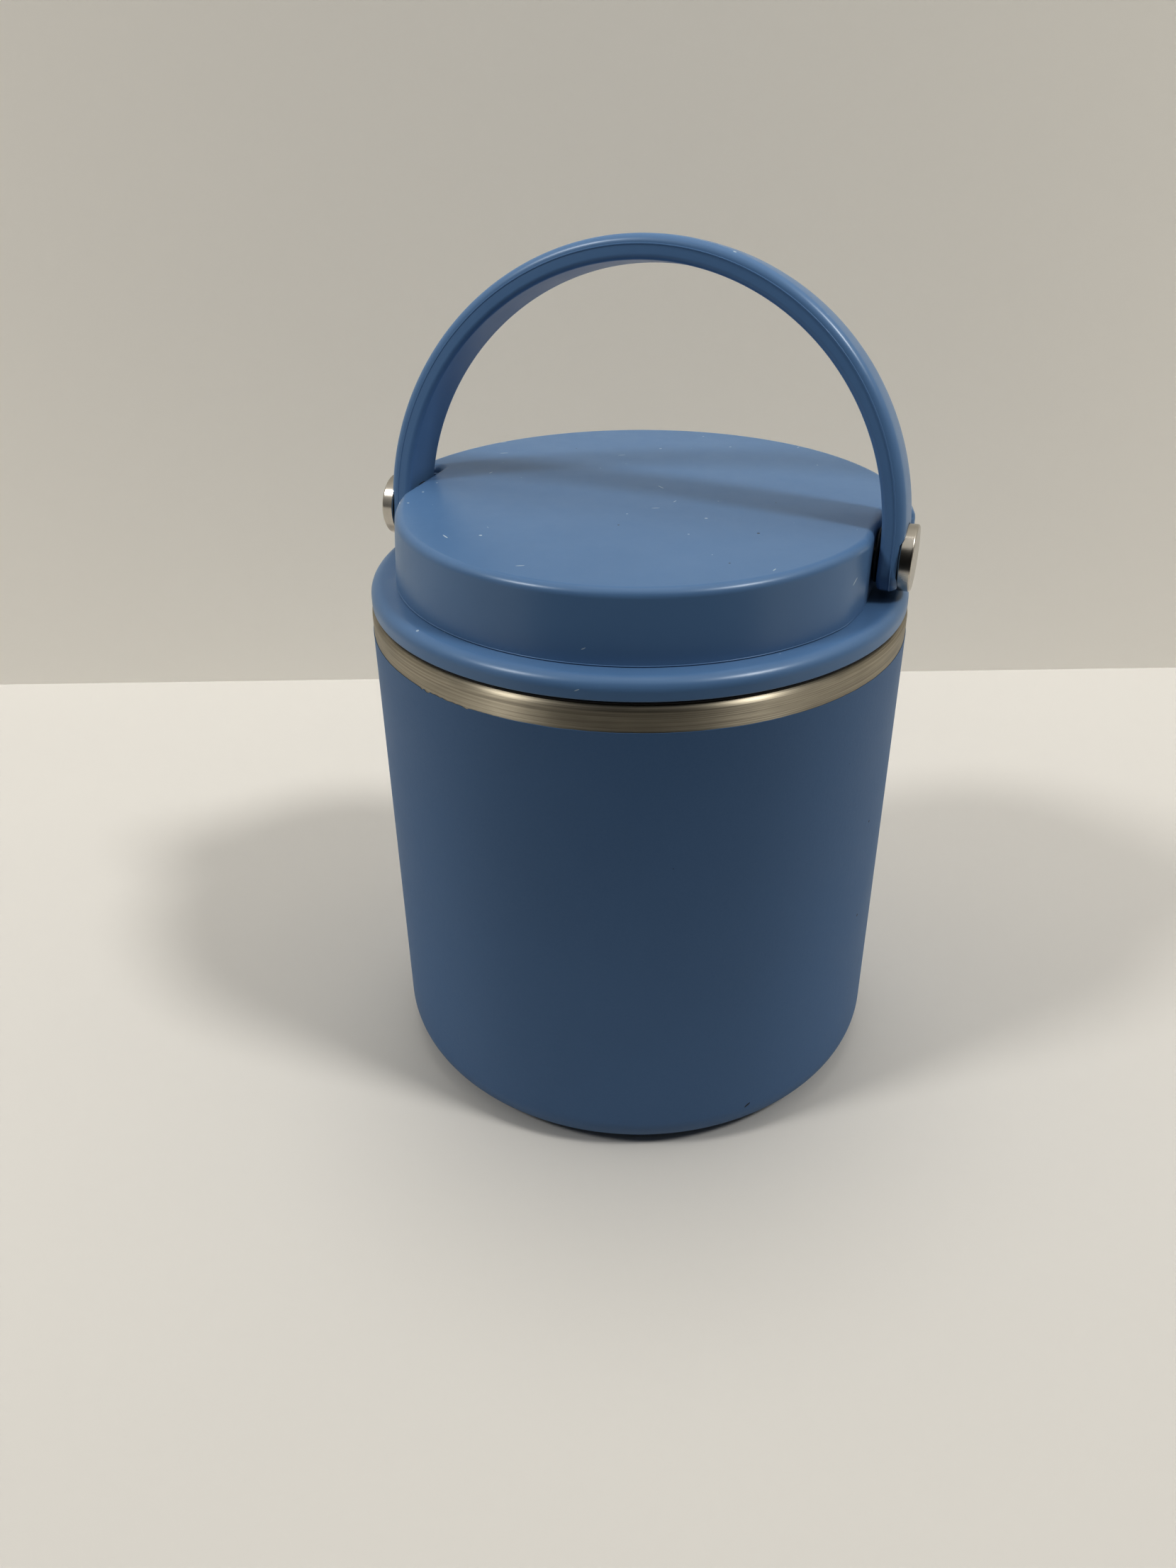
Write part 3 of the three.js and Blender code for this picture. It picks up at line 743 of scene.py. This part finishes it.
def lid_base():
    """The flange with its rounded shoulder and ledge, and the hollow plug with the thread."""
    bottom = LID_LOW.z
    bore = PLUG_RADIUS - PLASTIC
    hollow_edge = (PLUG_HOLLOW, bottom + 2 * HOLLOW_DEPTH)
    shoulder = (LID_HIGH.x - FLANGE_ROUND, LEDGE_HEIGHT - FLANGE_ROUND)
    drop = THREAD_LEAD / (2 * THREAD_STARTS)
    thread_low = THREAD_TOP - drop - THREAD_LEAD * THREAD_SWEEP / (2 * math.pi) - THREAD_ROOT
    rows = rings([
        (0, bottom + HOLLOW_DEPTH),
        (PLUG_HOLLOW, bottom + HOLLOW_DEPTH),
        *arc(hollow_edge, HOLLOW_DEPTH, -90, -20, 4),
        (PLUG_HOLLOW + 2 * HOLLOW_DEPTH, bottom),
        *arc((PLUG_RADIUS - PLUG_EDGE, bottom + PLUG_EDGE), PLUG_EDGE, -90, 0),
        (PLUG_RADIUS, thread_low - THREAD_ROW),
    ])
    rows += threaded_wall(PLUG_RADIUS, PLUG_RIB, drop, thread_low, THREAD_TOP - drop + THREAD_ROOT)
    rows += rings([
        (PLUG_RADIUS, FLANGE_BOTTOM - PLUG_CHAMFER),
        (PLUG_RADIUS + PLUG_CHAMFER, FLANGE_BOTTOM),
        *arc((LID_HIGH.x - FLANGE_EDGE, FLANGE_BOTTOM + FLANGE_EDGE), FLANGE_EDGE, -90, 0, 5),
        *arc(shoulder, FLANGE_ROUND, 0, 90, 14),
        (SPIGOT_RADIUS, LEDGE_HEIGHT),
        (SPIGOT_RADIUS, SPIGOT_TOP),
        (bore, SPIGOT_TOP),
        (bore, bottom + PLASTIC + PLUG_EDGE),
        (bore - PLUG_EDGE, bottom + PLASTIC),
        (0, bottom + PLASTIC),
    ])
    return loft("lid_flange_and_plug", rows)


def stop_wall(height):
    """How far behind the pins the wall behind the legs stands, at a height."""
    return (STOP_DISTANCE + (height - PIN_HEIGHT) * math.sin(HANDLE_LEAN)) / math.cos(HANDLE_LEAN)


def cover_half_outline(height):
    """The right half of the cover's outline from front to back, as (x, y, normal angle, front share). The
    front share is 1 in front of the wall behind the legs and 0 from there on."""
    wall = stop_wall(height)
    front_x = SLOT_FLAT - FRONT_CORNER
    front_y = -math.sqrt((COVER_FRONT - FRONT_CORNER) ** 2 - front_x ** 2)
    rear_y = wall + REAR_CORNER
    rear_x = math.sqrt((COVER_REAR - REAR_CORNER) ** 2 - rear_y ** 2)
    front_turn = math.degrees(math.atan2(front_y, front_x))
    rear_turn = math.degrees(math.atan2(rear_y, rear_x))
    inner = (SLOT_FLAT + SLOT_CORNER, wall - SLOT_CORNER)

    def stretch(centre, radius, start, end, steps, share):
        turns = np.linspace(start, end, steps + 1)[:-1]
        points = arc(centre, radius, start, end, steps)[:-1]
        return [(x, y, turn, share) for (x, y), turn in zip(points, turns)]

    def run(first, last, turn, steps, share):
        line = np.linspace(first, last, steps + 1)[:-1]
        return [(x, y, turn, share) for x, y in line]

    half = stretch((0, 0), COVER_FRONT, -90, front_turn, 44, 1.0)
    half += stretch((front_x, front_y), FRONT_CORNER, front_turn, 0, 5, 1.0)
    half += run((SLOT_FLAT, front_y), (SLOT_FLAT, wall - SLOT_CORNER), 0, 10, 1.0)
    half += stretch(inner, -SLOT_CORNER, 0, -90, 6, 0.0)
    half += run((inner[0], wall), (rear_x, wall), -90, 5, 0.0)
    half += stretch((rear_x, rear_y), REAR_CORNER, -90, rear_turn, 9, 0.0)
    half += stretch((0, 0), COVER_REAR, rear_turn, 90, 60, 0.0)
    half.append((0, COVER_REAR, 90, 0.0))
    return half


def cover_outline(height):
    """The whole outline, counter-clockwise from the front, as arrays of points, normals and front shares."""
    right = cover_half_outline(height)
    left = [(-x, y, 180 - turn, share) for x, y, turn, share in reversed(right[1:-1])]
    table = np.array(right + left)
    turns = np.radians(table[:, 2])
    return table[:, :2], np.stack([np.cos(turns), np.sin(turns)], axis=1), table[:, 3]


def cover_row(front_height, rear_height, grow):
    """One row of the cover's wall. It has one height in front and another behind the handle, and grow is how
    far it stands outside the outline in front."""
    points, normals, front = cover_outline(rear_height)
    clear_of_flats = np.array([smooth((SLOT_FLAT - abs(x)) / FRONT_CORNER) for x in points[:, 0]])
    grown = points + normals * (grow * front * clear_of_flats)[:, None]
    heights = rear_height + (front_height - rear_height) * front
    return [(x, y, z) for (x, y), z in zip(grown, heights)]


def cover_top_row(inset, height):
    """One row of the rounded top edge: the outline moved inwards."""
    points, normals, _ = cover_outline(COVER_TOP)
    return [(x, y, height) for x, y in points - normals * inset]


def cover_flat_row(rim, share):
    """One row of the flat top: its rim drawn in towards a point behind the axis."""
    return [(share * x, TOP_MIDDLE + share * (y - TOP_MIDDLE), COVER_TOP) for x, y, _ in rim]


def cover_inside_row(radius, height, like):
    """One row of the hollow inside, with as many points as the outline and at the same angles."""
    angles = np.unwrap([math.atan2(y, x) for x, y, _ in like])
    angles = np.maximum.accumulate(angles)
    return [(radius * math.cos(a), radius * math.sin(a), height) for a in angles]


def cover_wall(seat, below_round):
    """The rows of the cover's wall from its foot up, with a bead round the foot. Behind the handle the foot
    reaches down on to the flange's rounded shoulder."""
    side = (COVER_REAR - (LID_HIGH.x - FLANGE_ROUND)) / (FLANGE_ROUND + JOINT_GAP)
    shoulder = LEDGE_HEIGHT - FLANGE_ROUND
    rear_low = shoulder + (FLANGE_ROUND + JOINT_GAP) * math.sqrt(1 - side * side)
    rows = []
    for grow, z in arc((DRAFT, seat + LIP), LIP, -90, 90, 6):
        rows.append(cover_row(z, rear_low + (z - seat), grow))
    front_start = seat + 2 * LIP
    rear_start = rear_low + 2 * LIP
    for share in (0.01, *np.linspace(0.1, 1, 8)):
        front_height = front_start + (below_round - front_start) * share
        rear_height = rear_start + (below_round - rear_start) * share
        rows.append(cover_row(front_height, rear_height, DRAFT * (1 - share)))
    return rows


def cover():
    """The upper moulding: full radius behind the handle, stepped in at the front, flats beside the legs."""
    seat = LEDGE_HEIGHT + JOINT_GAP
    inside = SPIGOT_RADIUS + JOINT_GAP
    below_round = COVER_TOP - COVER_ROUND
    rows = cover_wall(seat, below_round)
    for inset, z in arc((COVER_ROUND, below_round), COVER_ROUND, 180, 90, 10)[1:]:
        rows.append(cover_top_row(inset, z))
    rim = cover_top_row(COVER_ROUND + HOLD, COVER_TOP)
    rows += [rim, cover_flat_row(rim, 0.7), cover_flat_row(rim, 0.35)]
    rows.append([(0, TOP_MIDDLE, COVER_TOP)])
    hollow = [
        [(0, 0, COVER_TOP - PLASTIC)],
        cover_inside_row(inside, COVER_TOP - PLASTIC, rows[0]),
        cover_inside_row(inside, seat, rows[0]),
    ]
    piece = loft("lid_cover_shell", hollow + rows)
    for side in SIDE_NAMES:
        cut_out(piece, peg(PIN_HOLE, *PIN_HOLE_ENDS, side))
    return piece


# ---- Handle and pins --------------------------------------------------------------------------------------


def handle_section(thickness):
    """Half of the strip's section, from the middle of its inner face round one edge to the middle of its
    outer face, as (distance from the middle line, distance outwards). A fine parting ridge runs along the
    edge."""
    half = HANDLE_WIDTH / 2
    inner, outer = -thickness / 2, thickness / 2
    ridge = outer - OUTER_EDGE
    return [
        (0, inner),
        (half - INNER_EDGE - HOLD, inner),
        *arc((half - INNER_EDGE, inner + INNER_EDGE), INNER_EDGE, -90, 0, 7),
        (half, ridge - RIDGE_WIDTH),
        (half + PARTING_RIDGE, ridge - 0.7 * RIDGE_WIDTH),
        (half + PARTING_RIDGE, ridge - 0.2 * RIDGE_WIDTH),
        *arc((half - OUTER_EDGE, outer - OUTER_EDGE), OUTER_EDGE, 0, 84, 9),
        (half * 0.45, outer + OUTER_CROWN * 0.8),
        (0, outer + OUTER_CROWN),
    ]


def handle_stations():
    """Places round the strip's middle line, from the right pin over the crown to the left pin: a point in the
    upright handle's plane, the direction outwards and the thickness."""
    middle = LEG_OUTSIDE - LEG_THICKNESS / 2
    rise = ARCH_REACH - ARCH_START - CROWN_THICKNESS / 2
    stations = [((middle, 0), (1, 0), LEG_THICKNESS), ((middle, ARCH_START / 2), (1, 0), LEG_THICKNESS)]
    for turn in np.linspace(0, math.pi, 121):
        c, s = math.cos(turn), math.sin(turn)
        outwards = np.array((c * rise, s * middle))
        outwards /= np.linalg.norm(outwards)
        thickness = LEG_THICKNESS + (CROWN_THICKNESS - LEG_THICKNESS) * smooth(s)
        stations.append(((middle * c, ARCH_START + rise * s), tuple(outwards), thickness))
    stations += [((-x, z), (-1, 0), t) for (x, z), _, t in reversed(stations[:2])]
    return stations


def end_reach(angle):
    """Distance from the pin axis to the end of a leg, in a direction below the axis."""
    half = HANDLE_WIDTH / 2
    c, s = abs(math.cos(angle)), math.sin(angle)
    corner_y, corner_z = half - END_CORNER, END_DEPTH - END_CORNER
    if half * s <= corner_z * c:
        return half / c
    if END_DEPTH * c <= corner_y * s:
        return END_DEPTH / s
    towards = c * corner_y + s * corner_z
    return towards + math.sqrt(towards ** 2 - corner_y ** 2 - corner_z ** 2 + END_CORNER ** 2)


def handle_row(station, across_y, across_z=0.0):
    """The section at a station, with its middle line's distances laid out along Y and Z."""
    (x, z), (out_x, out_z), thickness = station
    section = handle_section(thickness)
    return [(x + out_x * v, across_y * u, z + out_z * v + across_z * u) for u, v in section]


def handle_end(station, towards):
    """The rows round the end of a leg, from one edge of the strip to the other."""
    rows = []
    for angle in np.radians(np.linspace(0, 180, 49))[1:-1]:
        share = end_reach(angle) / (HANDLE_WIDTH / 2)
        rows.append(handle_row(station, towards * math.cos(angle) * share, -math.sin(angle) * share))
    return rows


def handle():
    """The one-piece bail: a strip bent into an arch, with squarish ends, a hole and a seat for each pin."""
    stations = handle_stations()
    rows = [handle_row(station, -1) for station in stations]
    rows += handle_end(stations[-1], -1)
    rows += [handle_row(station, 1) for station in reversed(stations)]
    rows += handle_end(stations[0], 1)
    points = [point for row in rows for point in row]
    count = len(rows[0])
    faces = []
    for here in range(0, len(points), count):
        there = (here + count) % len(points)
        for k in range(count - 1):
            faces.append((here + k, here + k + 1, there + k + 1, there + k))
    piece = mesh_object("bail_handle", points, faces)
    lean = Matrix.Rotation(-HANDLE_LEAN, 4, "X")
    piece.data.transform(Matrix.Translation((0, 0, PIN_HEIGHT * MM)) @ lean)
    clear = LEG_OUTSIDE + LEG_THICKNESS
    hole = SHOULDER_RADIUS + RUNNING_CLEARANCE
    seat = HEAD_RADIUS + SEAT_CLEARANCE
    for side in SIDE_NAMES:
        cut_out(piece, peg(hole, LEG_OUTSIDE - 2 * LEG_THICKNESS, clear, side))
        cut_out(piece, peg(seat, LEG_OUTSIDE - HEAD_SEAT, clear, side))
    return piece


def pin(side):
    """A shoulder screw: wide flat head with a soft edge, shoulder and stem."""
    face = PIN_HIGH.x
    head_inside = LEG_OUTSIDE - HEAD_SEAT + RUNNING_CLEARANCE
    shoulder_end = SLOT_FLAT - RUNNING_CLEARANCE
    piece = turned("pin_" + SIDE_NAMES[side], [
        (0, PIN_LOW.x),
        (STEM_RADIUS, PIN_LOW.x),
        (STEM_RADIUS, shoulder_end),
        (SHOULDER_RADIUS, shoulder_end),
        (SHOULDER_RADIUS, head_inside),
        (HEAD_RADIUS - HEAD_CHAMFER, head_inside),
        (HEAD_RADIUS, head_inside + HEAD_CHAMFER),
        *arc((HEAD_RADIUS - HEAD_EDGE, face - HEAD_EDGE), HEAD_EDGE, 0, 90, 8),
        (0, face),
    ], PIN_SEGMENTS)
    return on_pin_axis(piece, side)


def washer(side):
    """The black washer between the cover's flat and the leg."""
    radius = (WASHER_HIGH.z - WASHER_LOW.z) / 2
    bore = SHOULDER_RADIUS + 2 * RUNNING_CLEARANCE
    edge = (WASHER_HIGH.x - WASHER_LOW.x) / 2
    piece = turned("washer_" + SIDE_NAMES[side], [
        (bore, WASHER_LOW.x),
        *arc((radius - edge, WASHER_LOW.x + edge), edge, -90, 90, 8),
        (bore, WASHER_HIGH.x),
    ], PIN_SEGMENTS)
    return on_pin_axis(piece, side)


# ---- Assembly ---------------------------------------------------------------------------------------------


def dress(piece, material, body, slot, *nodes):
    """Gives a new piece its material and its body, and hides the CAD nodes that it stands for."""
    piece.data.materials.clear()
    piece.data.materials.append(material)
    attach(piece, body)
    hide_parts(*nodes)


def refinish(node, material):
    """Gives a CAD node that stays its material."""
    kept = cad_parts[node]
    kept.data.materials.clear()
    kept.data.materials.append(material)


def build_jar():
    """The pieces of the jar, which stands still."""
    band = lined_steel("brushed_band", along=26, across=5200, roughness=0.46)
    inside = lined_steel("liner_steel", along=12, across=2600, roughness=0.26)
    spun = spun_steel("spun_base", "Z", roughness=0.24)
    dress(steel_wall(), band, "jar", "steel", "outer_shell")
    dress(coat(), powder_coat(), "jar", "coated_steel", "outer_shell")
    dress(liner(), inside, "jar", "steel", "inner_liner")
    dress(base_plate(), spun, "jar", "steel", "outer_base")
    dress(cover_disc(), spun, "jar", "steel", "base_disc")
    glass = soft_matter("sealing_glass", GLASS_TONES, scale=900, roughness=0.2, depth=0.00001)
    pellet = soft_matter("getter_metal", PELLET_TONES, scale=2500, roughness=0.6, depth=0.00005, metallic=1.0)
    refinish("vacuum_seal", glass)
    refinish("getter", pellet)


def build_lid():
    """The gasket, the lid with its pins and the handle."""
    plastic = satin_plastic("lid_plastic", "Z")
    rubber = soft_matter("silicone", RUBBER_TONES, scale=1500, roughness=0.6, depth=0.00002)
    nylon = soft_matter("nylon", NYLON_TONES, scale=1800, roughness=0.5, depth=0.00002)
    brass = soft_matter("turned_brass", BRASS_TONES, scale=1200, roughness=0.32, depth=0.00001, metallic=1.0)
    foam = soft_matter("cast_foam", FOAM_TONES, scale=800, roughness=0.85, depth=0.0002)
    pin_steel = spun_steel("pin_steel", "X", roughness=0.2)
    dress(gasket(), rubber, "seal_ring", "silicone", "lid_gasket")
    dress(lid_base(), plastic, "lid", "lid_plastic", "lid_base")
    dress(cover(), plastic, "lid", "lid_plastic", "lid_cover")
    refinish("lid_foam", foam)
    for side, name in SIDE_NAMES.items():
        dress(pin(side), pin_steel, "lid", "pin_steel", "handle_pin_" + name)
        dress(washer(side), nylon, "lid", "washer_nylon", "handle_washer_" + name)
        refinish("pin_insert_" + name, brass)
    # The handle is the lid's own plastic painted 12 % lighter (shade 1.12), which is painted light on the
    # handle, and it carries half the handling marks.
    rubbed = satin_plastic("handle_plastic", "Y", shade=1.12, worn=0.5)
    dress(handle(), rubbed, "bail", "handle_plastic", "handle")


# ---- Stage, light and camera ------------------------------------------------------------------------------


def upright(name, distance, width, height, material):
    """A plane standing on the floor, square to the camera's heading and facing the camera. The distance is
    counted from the jar's axis away from the camera."""
    bpy.ops.mesh.primitive_plane_add(size=1)
    made = bpy.context.object
    made.name = name
    made.scale = (width, height, 1.0)
    made.location = (-distance * math.sin(HEADING), distance * math.cos(HEADING), height / 2)
    made.rotation_euler = (math.pi / 2, 0, HEADING)
    made.data.materials.append(material)
    return made


def one_sided(finish):
    """Makes a material clear from behind, so that it doesn't hide the jar in views from the other side."""
    tree = finish.tree
    clear = tree.nodes.new("ShaderNodeBsdfTransparent")
    either = tree.nodes.new("ShaderNodeMixShader")
    behind = tree.nodes.new("ShaderNodeNewGeometry").outputs["Backfacing"]
    tree.links.new(behind, either.inputs["Fac"])
    tree.links.new(finish.shader.outputs["BSDF"], either.inputs[1])
    tree.links.new(clear.outputs["BSDF"], either.inputs[2])
    tree.links.new(either.outputs["Shader"], tree.nodes["Material Output"].inputs["Surface"])


def floor():
    """A plain pale floor."""
    pale = Finish("pale_floor", Specular_IOR_Level=0.3)
    cloud = pale.spread(pale.noise(pale.place, scale=3, detail=3), 0.3, 0.7)
    pale.link(pale.mix(cloud, *map(rgb, FLOOR_TONES)), "Base Color")
    pale.link(pale.spread(cloud, 0, 1, 0.42, 0.5), "Roughness")
    bpy.ops.mesh.primitive_plane_add(size=FLOOR_SIZE)
    made = bpy.context.object
    made.name = "floor"
    made.data.materials.append(pale.material)


def wall():
    """A plain pale wall behind the jar, which lets the lamps shine through it."""
    plaster = Finish("pale_wall", Specular_IOR_Level=0.2, Roughness=0.6)
    cloud = plaster.spread(plaster.noise(plaster.place, scale=5, detail=3), 0.3, 0.7)
    plaster.link(plaster.mix(cloud, *map(rgb, WALL_TONES)), "Base Color")
    one_sided(plaster)
    made = upright("wall", WALL_BEHIND, *WALL_SIZE, plaster.material)
    made.visible_shadow = False


def black_card():
    """A black card in front of the jar that dims its front. It is out of sight and casts no shadow."""
    black = Finish("black_card", Specular_IOR_Level=0.0, Base_Color=rgb(BLACK))
    made = upright("black_card", -CARD_IN_FRONT, *CARD_SIZE, black.material)
    made.visible_camera = False
    made.visible_shadow = False


def camera():
    """The camera in front of the jar, above it and to its right, tilted down and rolled a little."""
    data = bpy.data.cameras.new("camera")
    data.sensor_width = SENSOR
    data.lens = FOCAL_LENGTH
    data.clip_start = NEAREST
    made = bpy.data.objects.new("camera", data)
    made.location = CAMERA_PLACE
    heading = Matrix.Rotation(HEADING, 4, "Z")
    pitch = Matrix.Rotation(math.pi / 2 - DEPRESSION, 4, "X")
    made.rotation_euler = (heading @ pitch @ Matrix.Rotation(ROLL, 4, "Z")).to_euler()
    bpy.context.scene.collection.objects.link(made)
    bpy.context.scene.camera = made


def lamp(name, towards, strength, width):
    """A soft lamp far away in the direction given, which fills an angle of the given width in degrees."""
    data = bpy.data.lights.new(name, "SUN")
    data.angle = math.radians(width)
    data.energy = strength
    data.color = LAMP_COLOUR
    made = bpy.data.objects.new(name, data)
    made.rotation_euler = Vector(towards).to_track_quat("Z", "Y").to_euler()
    bpy.context.scene.collection.objects.link(made)


def room_light():
    """The light of a soft room, bright overhead and darker towards the horizon, and the tone of the picture.
    The camera sees an even backdrop instead."""
    world = bpy.data.worlds.new("room")
    world.use_nodes = True
    tree = world.node_tree
    place = tree.nodes.new("ShaderNodeTexCoord")
    parts = tree.nodes.new("ShaderNodeSeparateXYZ")
    ramp = tree.nodes.new("ShaderNodeMapRange")
    tree.links.new(place.outputs["Generated"], parts.inputs["Vector"])
    tree.links.new(parts.outputs["Z"], ramp.inputs["Value"])
    ramp.inputs["To Min"].default_value = HORIZON_LIGHT
    ramp.inputs["To Max"].default_value = ZENITH_LIGHT
    background = tree.nodes["Background"]
    background.inputs["Color"].default_value = rgb(LAMP_COLOUR)
    tree.links.new(ramp.outputs["Result"], background.inputs["Strength"])
    backdrop = tree.nodes.new("ShaderNodeBackground")
    backdrop.inputs["Color"].default_value = rgb(BACKDROP)
    seen = tree.nodes.new("ShaderNodeLightPath")
    either = tree.nodes.new("ShaderNodeMixShader")
    tree.links.new(seen.outputs["Is Camera Ray"], either.inputs["Fac"])
    tree.links.new(background.outputs["Background"], either.inputs[1])
    tree.links.new(backdrop.outputs["Background"], either.inputs[2])
    tree.links.new(either.outputs["Shader"], tree.nodes["World Output"].inputs["Surface"])
    bpy.context.scene.world = world
    bpy.context.scene.view_settings.view_transform = "Standard"
    bpy.context.scene.view_settings.gamma = PICTURE_GAMMA


camera()
room_light()
lamp("right_lamp", towards=(0.75, -0.08, 1.0), strength=1.5, width=10)
lamp("left_lamp", towards=(-0.70, -0.62, 1.0), strength=1.15, width=10)
lamp("back_lamp", towards=(-0.09, 0.27, 1.0), strength=0.6, width=28)
floor()
wall()
black_card()
build_jar()
build_lid()
